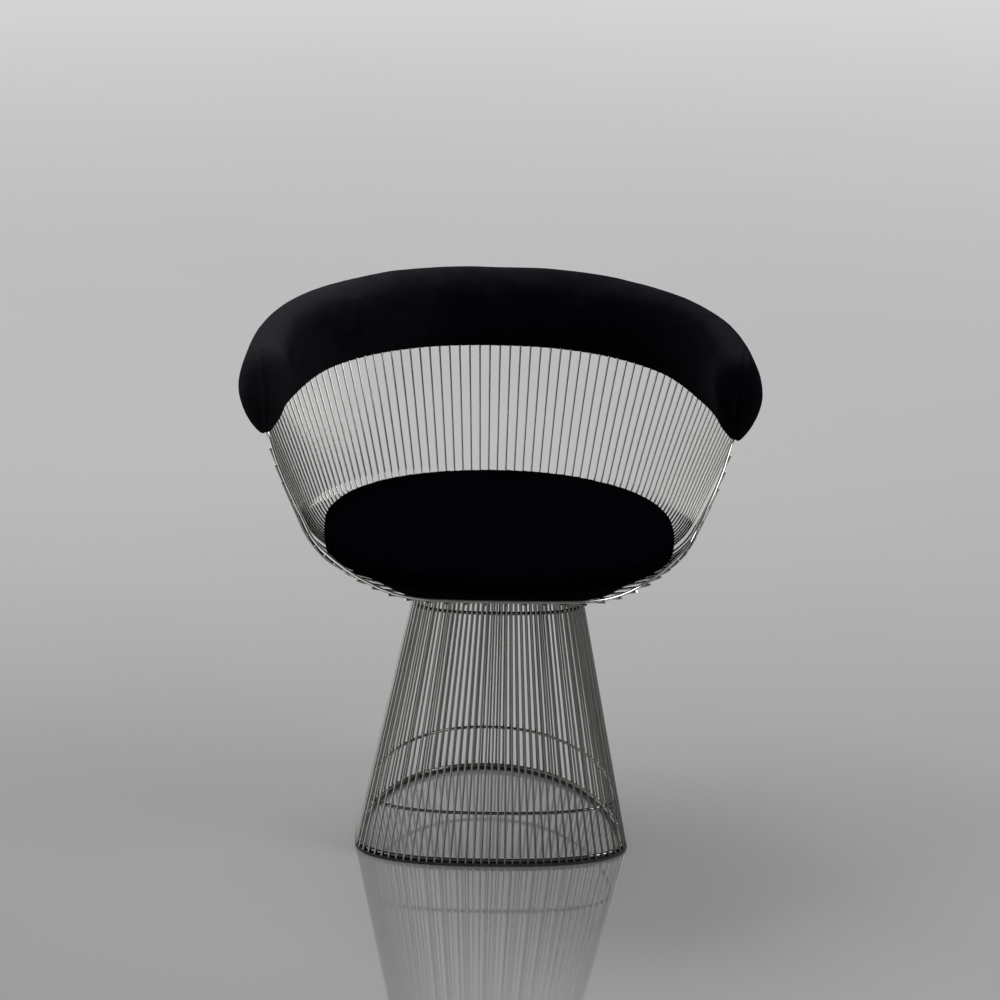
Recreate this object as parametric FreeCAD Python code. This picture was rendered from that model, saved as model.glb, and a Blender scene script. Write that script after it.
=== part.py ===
import FreeCAD, Part
import math
import os

# Wire pedestal armchair: a flared cage of straight rods carries a bowl of bent
# rods; a padded roll covers the top rail and a loose cushion lies in the bowl.
# Millimetres, +Z up, front of the chair faces -Y, origin on the floor below the
# middle of the chair's outline.

# ---------------------------------------------------------------- dimensions
Y_SHIFT = -17.57         # brings the middle of the outline over the origin
GAP = 0.06               # weld gap between rods of the welded frame

wire_d = 3.0             # cage rods
base_ring_d = 6.0
mid_ring_d = 4.6
waist_ring_d = 5.0
basket_ring_d = 5.0
seat_ring_d = 4.0
edge_rod_d = 4.2
top_rail_d = 6.0

glide_h = 3.0            # floor glide
glide_w = 8.5

base_wires = 108         # straight rods of the pedestal
base_z0 = glide_h + 0.6  # lower ends of the pedestal rods
base_z1 = 375.6          # upper ends
base_half_w = 189.0      # pedestal plan at the floor (rod centre lines)
base_front = 74.0
base_back = 264.0
base_y = -72.0
waist_half_w = 113.4     # pedestal plan at the waist
waist_front = 44.4
waist_back = 158.8
waist_y = -61.8
plan_nf = 2.5            # roundness of the front and back halves of the plan
plan_nb = 2.1

mid_ring_z = 74.6
waist_ring_z = 357.5
basket_ring_z = 374.3    # ring at the rods' upper ends that carries the bowl

bowl_yc = -10.0          # vertical axis through which the bowl rods' planes pass
bowl_in = 4.8            # rod ends inside the basket ring
seat_z = 470.0           # plan of the wall at this height
seat_half_w = 276.0
seat_front = 280.0
seat_back = 236.0
seat_y = -12.0
seat_nf = 2.35
seat_nb = 2.05
knee_z = 416.0           # where the bowl line and the wall line would meet
bend_r = 92.0            # bend radius at the back and sides

rail_half_w = 338.5      # top rail plan (rod centre lines of the wall)
rail_back = 282.0
rail_front = 330.0
rail_y = -11.0
rail_n = 2.2
rail_zb = 671.0          # rail height at the middle of the back
rail_tilt = 10.4         # the arms slope down to the front
rail_end = 88.6          # azimuth of the rail's ends from the back, degrees
rail_wires = 76
# spacing of the wall rods along the rail, by distance from the middle of the back: closer at the arms
rail_pitch = [(0.0, 15.0), (100.0, 15.0), (150.0, 14.7), (225.0, 13.4), (300.0, 12.3), (375.0, 11.0), (500.0, 10.6)]

edge_pitch = 26.2        # spacing of the short front rods along the edge rod
edge_tail = 2.4          # rod tails past the edge rod
edge_line = [(88.9, 607.0), (89.5, 592.0), (90.3, 576.0), (94.6, 549.0), (99.2, 523.0), (103.6, 496.0),
             (107.8, 470.0), (110.0, 462.0)]       # height of the rods at the edge rod, by azimuth
# shallow front of the bowl: azimuth, radius and height of the rods at the edge rod, their slope there, bend radius
front_line = [(110.0, 275.0, 462.0, 65.0, 97.0), (112.5, 272.9, 457.0, 60.5, 98.5), (115.0, 271.5, 452.8, 56.0, 100.0),
              (119.5, 270.4, 449.2, 49.0, 104.0), (124.5, 270.5, 445.9, 41.5, 108.0), (130.0, 271.7, 442.5, 34.5, 110.0),
              (135.0, 273.5, 439.4, 29.5, 110.0), (140.0, 274.8, 436.5, 25.5, 110.0), (145.0, 275.6, 433.2, 22.2, 110.0),
              (150.0, 275.3, 431.0, 20.0, 110.0), (157.5, 273.0, 430.6, 18.8, 110.0), (165.0, 269.7, 432.4, 18.4, 110.0),
              (172.5, 266.7, 433.4, 18.2, 110.0), (180.0, 265.2, 433.6, 18.2, 110.0)]

seat_ring_z = 398.0      # ring inside the bowl that carries the cushion

pad_half_w = 323.0       # centre line of the padded roll
pad_back = 271.6
pad_front = 330.0
pad_y = 4.0
pad_n = 2.2
pad_zb = 689.0
pad_tilt = 10.4
pad_a = 36.5             # half thickness
pad_b = 56.0             # half height
pad_taper = 0.21
pad_lean0 = 16.0         # lean of the roll at the back and at the arms
pad_lean1 = 5.0
pad_end_y = -13.0        # where the arm ends begin
pad_end_l = 24.0         # depth of the rounded ends
cover_t = 2.4            # cover with its wadding
slot_in = 9.2            # slot in the roll that takes the rods and the rail
slot_out = 3.6

cush_half_w = 240.0      # seat cushion at its widest
cush_front = 240.0
cush_back = 226.0
cush_y = -16.0
cush_nf = 2.4
cush_nb = 2.1
cush_z0 = 402.8          # underside
cush_z1 = 470.0          # top of the cover at the rim
cush_wide_z = 441.0
cush_clear = 2.2
board_t = 9.0
band_z0 = 440.0          # lower and upper seams of the cushion's side band
band_z1 = 460.0
pad_size = (34.0, 18.0)  # grip pads under the cushion


def V(x, y, z):
    return FreeCAD.Vector(x, y, z)


# ------------------------------------------------------------- plan geometry
def super_d(ang, hw, f, b, y0, nf, nb):
    """Point of a two-half superellipse; ang 0 is the back (+Y), 90 deg is +X."""
    s, c = math.sin(ang), math.cos(ang)
    n, q = (nb, b) if c >= 0 else (nf, f)
    r = ((abs(s) / hw) ** n + (abs(c) / q) ** n) ** (-1.0 / n)
    return (r * s, y0 + r * c)


def radius_at(az, plan, yc=bowl_yc):
    """Distance from the bowl axis to a plan curve along azimuth az."""
    lo, hi = az - 0.9, az + 0.9
    for _ in range(56):
        m = (lo + hi) / 2
        x, y = plan(m)
        d = math.atan2(x, y - yc) - az
        while d > math.pi:
            d -= 2 * math.pi
        while d < -math.pi:
            d += 2 * math.pi
        if d > 0:
            hi = m
        else:
            lo = m
    x, y = plan((lo + hi) / 2)
    return math.hypot(x, y - yc)


def by_length(plan, n, m=1440):
    """n points evenly spaced by length around a closed plan, from the front."""
    pts = [plan(math.pi + 2 * math.pi * i / m) for i in range(m + 1)]
    acc = [0.0]
    for p, q in zip(pts, pts[1:]):
        acc.append(acc[-1] + math.hypot(q[0] - p[0], q[1] - p[1]))
    out, j = [], 0
    for k in range(n):
        t = acc[-1] * (k + 0.5) / n
        while acc[j + 1] < t:
            j += 1
        w = (t - acc[j]) / (acc[j + 1] - acc[j])
        out.append((pts[j][0] + w * (pts[j + 1][0] - pts[j][0]),
                    pts[j][1] + w * (pts[j + 1][1] - pts[j][1])))
    return out


def base_plan(a):
    return super_d(a, base_half_w, base_front, base_back, base_y, plan_nf, plan_nb)


def waist_plan(a):
    return super_d(a, waist_half_w, waist_front, waist_back, waist_y, plan_nf, plan_nb)


def seat_plan(a):
    return super_d(a, seat_half_w, seat_front, seat_back, seat_y, seat_nf, seat_nb)


def rail_plan(a):
    return super_d(a, rail_half_w, rail_front, rail_back, rail_y, rail_n, rail_n)


def rail_height(y):
    return rail_zb - math.tan(math.radians(rail_tilt)) * (rail_y + rail_back - y)


# ----------------------------------------------------------------- rod paths
def biarc(p1, t1, p2, t2):
    """Two arcs that leave p1 along t1 and reach p2 along t2, as edges."""
    v = p2 - p1
    t = t1 + t2
    c = t1.dot(t2)
    vt = v.dot(t)
    if 1 - c < 1e-7:
        d = v.dot(v) / (2 * vt)
    else:
        d = (-vt + math.sqrt(vt * vt + 2 * (1 - c) * v.dot(v))) / (2 * (1 - c))
    q1, q2 = p1 + t1 * d, p2 - t2 * d
    pm = (q1 + q2) * 0.5
    return [arc_edge(p1, q1, pm), arc_edge(pm, q2, p2)]


def arc_edge(a, q, b):
    ab = b - a
    w = (q - a).dot(ab) / ((q - a).Length * ab.Length)
    if w > 1 - 1e-9:
        return Part.makeLine(a, b)
    m = (a + b + q * (2 * w)) * (1.0 / (2 + 2 * w))
    return Part.Arc(a, m, b).toShape()


def path_through(pts, closed):
    n = len(pts)
    tan = []
    for i in range(n):
        a = pts[(i - 1) % n] if closed or i else pts[i]
        b = pts[(i + 1) % n] if closed or i < n - 1 else pts[i]
        if not closed and i == 0:
            d = (pts[1] - pts[0]) * 2 - (pts[2] - pts[0]) * 0.5
        elif not closed and i == n - 1:
            d = (pts[-1] - pts[-2]) * 2 - (pts[-1] - pts[-3]) * 0.5
        else:
            # tangent of the circle through three neighbours
            u, w = pts[i] - a, b - pts[i]
            d = u * (w.Length / u.Length) + w * (u.Length / w.Length)
        d.normalize()
        tan.append(d)
    edges = []
    for i in range(n if closed else n - 1):
        j = (i + 1) % n
        edges += biarc(pts[i], tan[i], pts[j], tan[j])
    return edges, tan


def rod_through(pts, dia, closed=False):
    edges, tan = path_through(pts, closed)
    prof = Part.Wire([Part.makeCircle(dia / 2, pts[0], tan[0])])
    return Part.Wire(edges).makePipeShell([prof], True, False)


def rod_edges(edges, p0, t0, dia):
    prof = Part.Wire([Part.makeCircle(dia / 2, p0, t0)])
    return Part.Wire(edges).makePipeShell([prof], True, False)


def straight_rod(a, b, dia):
    d = b - a
    return Part.makeCylinder(dia / 2, d.Length, a, d)


# ------------------------------------------------------------ bowl rod shape
tip = math.radians(rail_end)
bowl_z0 = basket_ring_z + ((wire_d + basket_ring_d) / 2 + GAP) / math.cos(math.radians(18))


def ring_line(z, off):
    """Pedestal plan at height z, moved inward by off, evenly sampled."""
    n = 48
    lo, hi = by_length(base_plan, n), by_length(waist_plan, n)
    w = (z - base_z0) / (base_z1 - base_z0)
    pts = [(a[0] + w * (b[0] - a[0]), a[1] + w * (b[1] - a[1])) for a, b in zip(lo, hi)]
    out = []
    for i in range(n):
        a, b = pts[i - 1], pts[(i + 1) % n]
        tx, ty = b[0] - a[0], b[1] - a[1]
        L = math.hypot(tx, ty)
        nx, ny = -ty / L, tx / L
        if nx * pts[i][0] + ny * (pts[i][1] - waist_y) > 0:
            nx, ny = -nx, -ny
        out.append((pts[i][0] + nx * off, pts[i][1] + ny * off))
    return out


lean_f = 1.035           # rods lean, so their horizontal section is a little longer
basket_line = ring_line(basket_ring_z, ((wire_d + basket_ring_d) / 2 + GAP) * lean_f)
_wa = [(math.atan2(x, y - bowl_yc), math.hypot(x, y - bowl_yc)) for x, y in basket_line]
_wa.sort()


def basket_ring_r(az):
    """Radius of the basket ring's centre line at azimuth az."""
    a = az
    while a > math.pi:
        a -= 2 * math.pi
    while a < -math.pi:
        a += 2 * math.pi
    n = len(_wa)
    for i in range(-1, n - 1):
        a0, r0 = _wa[i]
        a1, r1 = _wa[i + 1]
        if i == -1:
            a0 -= 2 * math.pi
        if a0 <= a <= a1:
            break
    else:
        a0, r0 = _wa[-1]
        a1, r1 = _wa[0][0] + 2 * math.pi, _wa[0][1]
    w = (a - a0) / (a1 - a0)
    return r0 + w * (r1 - r0)


def smooth_table(t, x, col):
    """Value of column col at x, smooth through the rows of a table and flat at its last row."""
    x = min(max(x, t[0][0]), t[-1][0])
    for i in range(len(t) - 1):
        if t[i][0] <= x <= t[i + 1][0]:
            break

    def slope(k):
        if k == 0:
            return (t[1][col] - t[0][col]) / (t[1][0] - t[0][0])
        if k == len(t) - 1:
            return 0.0
        d0 = (t[k][col] - t[k - 1][col]) / (t[k][0] - t[k - 1][0])
        d1 = (t[k + 1][col] - t[k][col]) / (t[k + 1][0] - t[k][0])
        return 0.0 if d0 * d1 <= 0 else 2 * d0 * d1 / (d0 + d1)
    h = t[i + 1][0] - t[i][0]
    u = (x - t[i][0]) / h
    return ((2 * u**3 - 3 * u**2 + 1) * t[i][col] + (u**3 - 2 * u**2 + u) * h * slope(i)
            + (-2 * u**3 + 3 * u**2) * t[i + 1][col] + (u**3 - u**2) * h * slope(i + 1))


def wall_bend(az):
    """Bend centre of the rods at the back and sides, with the wall's slope, lean and top."""
    a = abs(az)
    rs = radius_at(az, seat_plan)
    aa = min(a, tip)
    rr = radius_at(aa, rail_plan)
    zr = rail_height(bowl_yc + rr * math.cos(aa))
    lean = math.atan2(rr - radius_at(aa, seat_plan), zr - seat_z)
    if a > tip:
        rr = rs + math.tan(lean) * (zr - seat_z)
    rk = rs - math.tan(lean) * (seat_z - knee_z)
    b1 = math.atan2(knee_z - bowl_z0, rk - basket_ring_r(az))
    b2 = math.pi / 2 - lean
    tl = bend_r * math.tan((b2 - b1) / 2)
    C = (rk - tl * math.cos(b1) - bend_r * math.sin(b1), knee_z - tl * math.sin(b1) + bend_r * math.cos(b1))
    return C, b2, lean, rr, zr


def front_bend(deg):
    """Bend centre and radius of the short rods at the front."""
    r, z, t, R = (smooth_table(front_line, deg, k) for k in (1, 2, 3, 4))
    t = math.radians(t)
    return (r - R * math.sin(t), z + R * math.cos(t)), R


_c_old, _c_new = wall_bend(math.radians(front_line[0][0]))[0], front_bend(front_line[0][0])


def profile(az):
    """Bowl line, bend and wall line of the rod at azimuth az, as (radius, height)."""
    deg = math.degrees(abs(az))
    C, b2, lean, rr, zr = wall_bend(az)
    R = bend_r
    first = front_line[0][0]
    if deg >= first:
        C, R = front_bend(deg)
    elif deg > first - 16:
        u = (deg - first + 16) / 16
        u = u * u * (3 - 2 * u)
        C = (C[0] + u * (_c_new[0][0] - _c_old[0]), C[1] + u * (_c_new[0][1] - _c_old[1]))
        R = R + u * (_c_new[1] - R)
    # straight line over the basket ring that runs into the bend
    rh, lift = basket_ring_r(az), (wire_d + basket_ring_d) / 2 + GAP
    dr, dz = C[0] - rh, C[1] - basket_ring_z
    b1 = math.atan2(dz, dr) - math.asin((R + lift) / math.hypot(dr, dz))
    H = (rh - lift * math.sin(b1) - bowl_in * math.cos(b1), basket_ring_z + lift * math.cos(b1) - bowl_in * math.sin(b1))
    A = (C[0] + R * math.sin(b1), C[1] - R * math.cos(b1))
    B = (C[0] + R * math.sin(b2), C[1] - R * math.cos(b2))
    return dict(H=H, A=A, B=B, C=C, R=R, b1=b1, b2=b2, rr=rr, zr=zr, lean=lean,
                l1=math.hypot(A[0] - H[0], A[1] - H[1]), la=R * (b2 - b1))


def along(p, s):
    """(radius, height, slope) at length s along a profile."""
    if s <= p["l1"]:
        return (p["H"][0] + s * math.cos(p["b1"]), p["H"][1] + s * math.sin(p["b1"]), p["b1"])
    s -= p["l1"]
    if s <= p["la"]:
        t = p["b1"] + s / p["R"]
        return (p["C"][0] + p["R"] * math.sin(t), p["C"][1] - p["R"] * math.cos(t), t)
    s -= p["la"]
    return (p["B"][0] + s * math.cos(p["b2"]), p["B"][1] + s * math.sin(p["b2"]), p["b2"])


def length_at(p, z):
    """Length along a profile at which it reaches height z."""
    lo, hi = 0.0, 520.0
    for _ in range(50):
        m = (lo + hi) / 2
        if along(p, m)[1] < z:
            lo = m
        else:
            hi = m
    return lo


def place(az, r, z):
    return V(r * math.sin(az), bowl_yc + r * math.cos(az), z)


def bowl_rod(az, s_end):
    p = profile(az)
    p0 = place(az, *p["H"])
    t0 = V(math.sin(az) * math.cos(p["b1"]), math.cos(az) * math.cos(p["b1"]), math.sin(p["b1"]))
    A = place(az, *p["A"])
    edges = [Part.makeLine(p0, A)]
    if s_end > p["l1"] + p["la"]:
        m = along(p, p["l1"] + p["la"] / 2)
        B = place(az, *p["B"])
        e = along(p, s_end)
        edges.append(Part.Arc(A, place(az, m[0], m[1]), B).toShape())
        edges.append(Part.makeLine(B, place(az, e[0], e[1])))
    else:
        m = along(p, (p["l1"] + s_end) / 2)
        e = along(p, s_end)
        edges.append(Part.Arc(A, place(az, m[0], m[1]), place(az, e[0], e[1])).toShape())
    return rod_edges(edges, p0, t0, wire_d)


def inward(az, p, s, off):
    """Point off the rod's centre line by off, on the inner side of the bowl."""
    r, z, t = along(p, s)
    return place(az, r - off * math.sin(t), z + off * math.cos(t))


# ------------------------------------------------------------------- writing
def save(name, shape):
    shape.translate(V(0, Y_SHIFT, 0))
    shape.exportStep(os.path.join("parts", name + ".step"))


def group(solids):
    return solids[0] if len(solids) == 1 else Part.makeCompound(solids)


# ------------------------------------------------------------------ pedestal
def build_pedestal():
    lo, hi = by_length(base_plan, base_wires), by_length(waist_plan, base_wires)
    sides = {"front": [], "right": [], "rear": [], "left": []}
    for (x0, y0), (x1, y1) in zip(lo, hi):
        rod = straight_rod(V(x0, y0, base_z0), V(x1, y1, base_z1), wire_d)
        a = math.degrees(math.atan2(x0, y0 - 20.0))
        if abs(a) > 133:
            sides["front"].append(rod)
        elif abs(a) < 40:
            sides["rear"].append(rod)
        elif a > 0:
            sides["right"].append(rod)
        else:
            sides["left"].append(rod)
    for k, rods in sides.items():
        save("pedestal_wires_" + k, group(rods))

    for name, z, dia in (("base_ring", glide_h + base_ring_d / 2 + 0.1, base_ring_d),
                         ("mid_ring", mid_ring_z, mid_ring_d),
                         ("waist_ring", waist_ring_z, waist_ring_d)):
        line = ring_line(z, ((wire_d + dia) / 2 + GAP) * lean_f)
        save(name, rod_through([V(x, y, z) for x, y in line], dia, True))
    save("basket_ring", rod_through([V(x, y, basket_ring_z) for x, y in basket_line], basket_ring_d, True))

    # flat floor glide under the base ring and the rod ends
    out = [V(x, y, 0) for x, y in ring_line(base_z0, -wire_d / 2 - 0.6)]
    inn = [V(x, y, 0) for x, y in ring_line(base_z0, glide_w - wire_d / 2 - 0.6)]
    fo = Part.Face(Part.Wire(path_through(out, True)[0])).extrude(V(0, 0, glide_h))
    fi = Part.Face(Part.Wire(path_through(inn, True)[0])).extrude(V(0, 0, glide_h))
    save("floor_glide_ring", fo.cut(fi).Solids[0])


# -------------------------------------------------------------------- basket
def rail_azimuths():
    """Azimuths of the rods on the top rail, from one arm to the other."""
    m = 900
    pts = []
    for i in range(m + 1):
        a = -tip + 2 * tip * i / m
        r = radius_at(a, rail_plan)
        pts.append((a, place(a, r, rail_height(bowl_yc + r * math.cos(a)))))
    acc = [0.0]
    for p, q in zip(pts, pts[1:]):
        acc.append(acc[-1] + (q[1] - p[1]).Length)

    def pitch(t):
        for (t0, p0), (t1, p1) in zip(rail_pitch, rail_pitch[1:]):
            if t <= t1:
                return p0 + (p1 - p0) * (t - t0) / (t1 - t0)
        return rail_pitch[-1][1]
    count = [0.0]
    for u, v in zip(acc, acc[1:]):
        count.append(count[-1] + (v - u) / pitch(abs((u + v) / 2 - acc[-1] / 2)))
    out, j = [], 0
    for k in range(rail_wires):
        t = count[-1] * (k + 0.4) / (rail_wires - 0.2)
        while j < m - 1 and count[j + 1] < t:
            j += 1
        w = (t - count[j]) / (count[j + 1] - count[j])
        out.append(pts[j][0] + w * (pts[j + 1][0] - pts[j][0]))
    return out


def edge_height(deg):
    """Height of the rod line where the edge rod crosses it."""
    a = min(abs(deg), 360 - abs(deg))
    if a >= front_line[0][0]:
        return smooth_table(front_line, a, 2)
    return smooth_table(edge_line + [(r[0], r[2]) for r in front_line[1:]], a, 1)


edge_off = ((wire_d + edge_rod_d) / 2 + GAP) * 1.03


def edge_points():
    """Centre line of the right half of the edge rod, from the arm end to near the middle."""
    degs = [88.9, 89.2, 89.5, 89.85, 90.3, 91.2, 92.6, 94.6, 96.9, 99.2, 101.4, 103.6, 105.7, 107.8,
            110.0, 112.5, 115.8, 119.5, 124.5, 130.0, 135.0, 140.0, 145.0, 150.0, 157.5, 165.0, 172.5]
    out = []
    for d in degs:
        a = math.radians(d)
        p = profile(a)
        out.append(inward(a, p, length_at(p, edge_height(d)), edge_off))
    return out


def edge_azimuths():
    """Azimuths of the short front rods on one side, evenly spaced along the edge rod from the middle."""
    pts = []
    for i in range(361):
        d = 180.0 - 88.2 * i / 360
        a = math.radians(d)
        p = profile(a)
        pts.append((d, inward(a, p, length_at(p, edge_height(d)), edge_off)))
    out, acc, k = [], 0.0, 1
    for (d0, p0), (d1, p1) in zip(pts, pts[1:]):
        step = (p1 - p0).Length
        while acc + step >= k * edge_pitch:
            out.append(d0 + (d1 - d0) * (k * edge_pitch - acc) / step)
            k += 1
        acc += step
    return out


def build_basket():
    back, left, right, front = [], [], [], []
    for a in rail_azimuths():
        p = profile(a)
        rod = bowl_rod(a, length_at(p, p["zr"] + 2.0))
        d = math.degrees(a)
        (back if abs(d) < 44 else right if d > 0 else left).append(rod)
    for d in edge_azimuths() + [180.0]:
        for s in ((1, -1) if d < 180 else (1,)):
            a = math.radians(d * s)
            p = profile(a)
            front.append(bowl_rod(a, length_at(p, edge_height(d)) + edge_tail))
    save("basket_wires_back", group(back))
    save("basket_wires_left", group(left))
    save("basket_wires_right", group(right))
    save("basket_wires_front", group(front))

    # top rail inside the row of wall rods
    off = (wire_d + top_rail_d) / 2 + GAP
    pts = []
    n = 36
    for i in range(n + 1):
        a = -tip + 2 * tip * i / n
        p = profile(a)
        pts.append(inward(a, p, length_at(p, p["zr"]), off * 1.02))
    save("top_rail", rod_through(pts, top_rail_d))

    # edge rod along the front opening, inside the rod tails
    half = edge_points()
    a = math.pi
    p = profile(a)
    mid = inward(a, p, length_at(p, edge_height(180.0)), edge_off)
    pts = half + [mid] + [V(-q.x, q.y, q.z) for q in reversed(half)]
    save("front_edge_rod", rod_through(pts, edge_rod_d))

    # ring inside the bowl under the cushion
    off = (wire_d + seat_ring_d) / 2 + GAP
    pts = []
    n = 40
    for i in range(n):
        a = math.pi - 2 * math.pi * (i + 0.5) / n
        p = profile(a)
        q = inward(a, p, length_at(p, seat_ring_z - off * math.cos(p["b1"])), off * 1.01)
        pts.append(V(q.x, q.y, seat_ring_z))
    save("seat_support_ring", rod_through(pts, seat_ring_d, True))


# ---------------------------------------------------------------- padded roll
def pad_stations(n):
    """Frames along the roll's centre line, evenly spaced from one arm end to the other."""
    def pt(a):
        x, y = super_d(a, pad_half_w, pad_front, pad_back, pad_y, pad_n, pad_n)
        return V(x, y, pad_zb - math.tan(math.radians(pad_tilt)) * (pad_y + pad_back - y))
    lo, hi = math.pi / 2, math.pi * 0.7
    for _ in range(40):
        m = (lo + hi) / 2
        if pt(m).y > pad_end_y:
            lo = m
        else:
            hi = m
    am, k = lo, 1200
    pts = [pt(-am + 2 * am * i / k) for i in range(k + 1)]
    acc = [0.0]
    for p, q in zip(pts, pts[1:]):
        acc.append(acc[-1] + (q - p).Length)
    out, j = [], 0
    for i in range(n + 1):
        t = acc[-1] * i / n
        while j < k - 1 and acc[j + 1] < t:
            j += 1
        w = (t - acc[j]) / (acc[j + 1] - acc[j])
        P = pts[j] + (pts[j + 1] - pts[j]) * w
        T = pts[min(j + 2, k)] - pts[max(j - 1, 0)]
        T.normalize()
        N = T.cross(V(0, 0, 1))
        N.normalize()
        if N.dot(V(P.x, P.y - pad_y, 0)) < 0:
            N = N * -1
        Bv = T.cross(N)
        Bv.normalize()
        if Bv.z < 0:
            Bv = Bv * -1
        u = abs(2.0 * i / n - 1)
        le = math.radians(pad_lean0 + (pad_lean1 - pad_lean0) * u ** 1.5)
        out.append((P, T, N, Bv, le))
    return out


def roll_outline(le, grow, mouth, k=26):
    """Outline of the roll's section as (n, b) points from the outer to the inner mouth edge."""
    out = []
    for i in range(k + 1):
        a = -math.pi / 2 + mouth + (2 * math.pi - 2 * mouth) * i / k
        ca, sa = math.cos(a), math.sin(a)
        e = 2 / 2.2
        vv = math.copysign(abs(sa) ** e, sa)
        uu = math.copysign(abs(ca) ** e, ca) * (1 - pad_taper * (1 - vv) / 2)
        x, y = (pad_a + grow) * uu, (pad_b + grow) * vv
        out.append((x * math.cos(le) + y * math.sin(le), -x * math.sin(le) + y * math.cos(le)))
    return out


def rod_line_at(st):
    """Wall rod line in the section plane: (n, b) of the rail rods' tops and of a lower point."""
    P, T, N, Bv, le = st
    def meet(frac):
        # rod surface point whose offset along T from P vanishes
        a = math.atan2(P.x, P.y - bowl_yc)
        for _ in range(8):
            p = profile(a)
            s = length_at(p, p["zr"] - frac)
            r, z, t = along(p, s)
            d = (place(a, r, z) - P)
            a -= d.dot(T) / r * (1 if T.dot(V(math.cos(a), -math.sin(a), 0)) > 0 else -1)
        return (d.dot(N), d.dot(Bv))
    return meet(0.0), meet(50.0)


def section_wires(st):
    """Foam and cover section wires at one station."""
    P, T, N, Bv, le = st
    to3 = lambda q: P + N * q[0] + Bv * q[1]
    (xt, yt), (xb, yb) = rod_line_at(st)
    L = math.hypot(xt - xb, yt - yb)
    dx, dy = (xt - xb) / L, (yt - yb) / L           # up along the rods
    nx, ny = dy, -dx                                 # outward across the slot
    top = (xt + dx * 7.0, yt + dy * 7.0)
    so = (top[0] + nx * slot_out, top[1] + ny * slot_out)
    si = (top[0] - nx * slot_in, top[1] - ny * slot_in)

    def trim(grow):
        """Outline points outside the slot, with exact ends on the slot's sides."""
        pts = roll_outline(le, grow, 0.0, 96)
        def off(q):
            return (q[0] - xt) * nx + (q[1] - yt) * ny
        low = lambda q: (q[0] - xt) * dx + (q[1] - yt) * dy < 0
        n = len(pts)
        # walk from the bottom to both sides until the slot is left
        i = 0
        while low(pts[i]) and off(pts[i]) < slot_out:
            i += 1
        j = n - 1
        while low(pts[j]) and off(pts[j]) > -slot_in:
            j -= 1
        def cross(p, q, lim):
            w = (lim - off(p)) / (off(q) - off(p))
            return (p[0] + w * (q[0] - p[0]), p[1] + w * (q[1] - p[1]))
        a = cross(pts[(i - 1) % n], pts[i], slot_out)
        b = cross(pts[(j + 1) % n], pts[j], -slot_in)
        inner = pts[i + 1:j]
        step = max(1, len(inner) // 20)
        return [a] + inner[::step] + [b]
    fo = [to3(q) for q in trim(-cover_t)]
    co = [to3(q) for q in trim(0.0)]
    def curve(ps):
        c = Part.BSplineCurve()
        c.interpolate(ps)
        return c.toShape()
    foam_o, cov_o = curve(fo), curve(co)
    a, b = to3(so), to3(si)
    foam = Part.Wire([foam_o, Part.makeLine(fo[-1], b), Part.makeLine(b, a), Part.makeLine(a, fo[0])])
    cov = Part.Wire([cov_o, Part.makeLine(co[-1], fo[-1]), curve(list(reversed(fo))), Part.makeLine(fo[0], co[0])])
    return foam, cov


def build_pad():
    st = pad_stations(30)
    secs = [section_wires(s) for s in st]
    # foam in four lengths, butted end to end, under one cover
    for name, i, j in (("pad_foam_arm_left", 0, 8), ("pad_foam_back_left", 8, 15),
                       ("pad_foam_back_right", 15, 22), ("pad_foam_arm_right", 22, 30)):
        save(name, Part.makeLoft([s[0] for s in secs[i:j + 1]], True, True))
    save("pad_cover", Part.makeLoft([s[1] for s in secs], True, True))
    # room in the arm ends for the edge rod
    half = edge_points()[:9]
    grooves = {1: rod_through(half, edge_rod_d + 1.0),
               -1: rod_through([V(-q.x, q.y, q.z) for q in half], edge_rod_d + 1.0)}
    for name, s, sg in (("pad_end_left", st[0], -1), ("pad_end_right", st[-1], 1)):
        P, T, N, Bv, le = s
        wires = []
        for k in range(5):
            d = pad_end_l * (k / 4.0)
            q = math.sqrt(max(0.0, 1 - (k / 4.0) ** 2 * 0.86))
            o = P + T * (sg * (d + 0.05))
            pts = roll_outline(le, 0.0, 0.0, 28)[:-1]
            low = -pad_b * 0.55 * (1 - q)
            pl = [o + N * (x * q + low * math.sin(le)) + Bv * (y * q + low * math.cos(le)) for x, y in pts]
            c = Part.BSplineCurve()
            c.interpolate(pl, True)
            wires.append(Part.Wire([c.toShape()]))
        save(name, Part.makeLoft(wires, True, True).cut(grooves[sg]).Solids[0])


# -------------------------------------------------------------- seat cushion
def cush_plan(a):
    return super_d(a, cush_half_w, cush_front, cush_back, cush_y, cush_nf, cush_nb)


def rod_radius(az, z):
    p = profile(az)
    r, zz, t = along(p, length_at(p, z))
    return r - (wire_d / 2) / math.sin(t)


def cush_wire(z, inset, grow=0.0):
    n = 48
    pts = []
    for i in range(n):
        a = math.pi - 2 * math.pi * (i + 0.5) / n
        r = min(radius_at(a, cush_plan) - inset, rod_radius(a, z) - cush_clear / math.sin(math.radians(25)))
        pts.append(place(a, r - grow, z))
    c = Part.BSplineCurve()
    c.interpolate(pts, True)
    return Part.Wire([c.toShape()])


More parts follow.
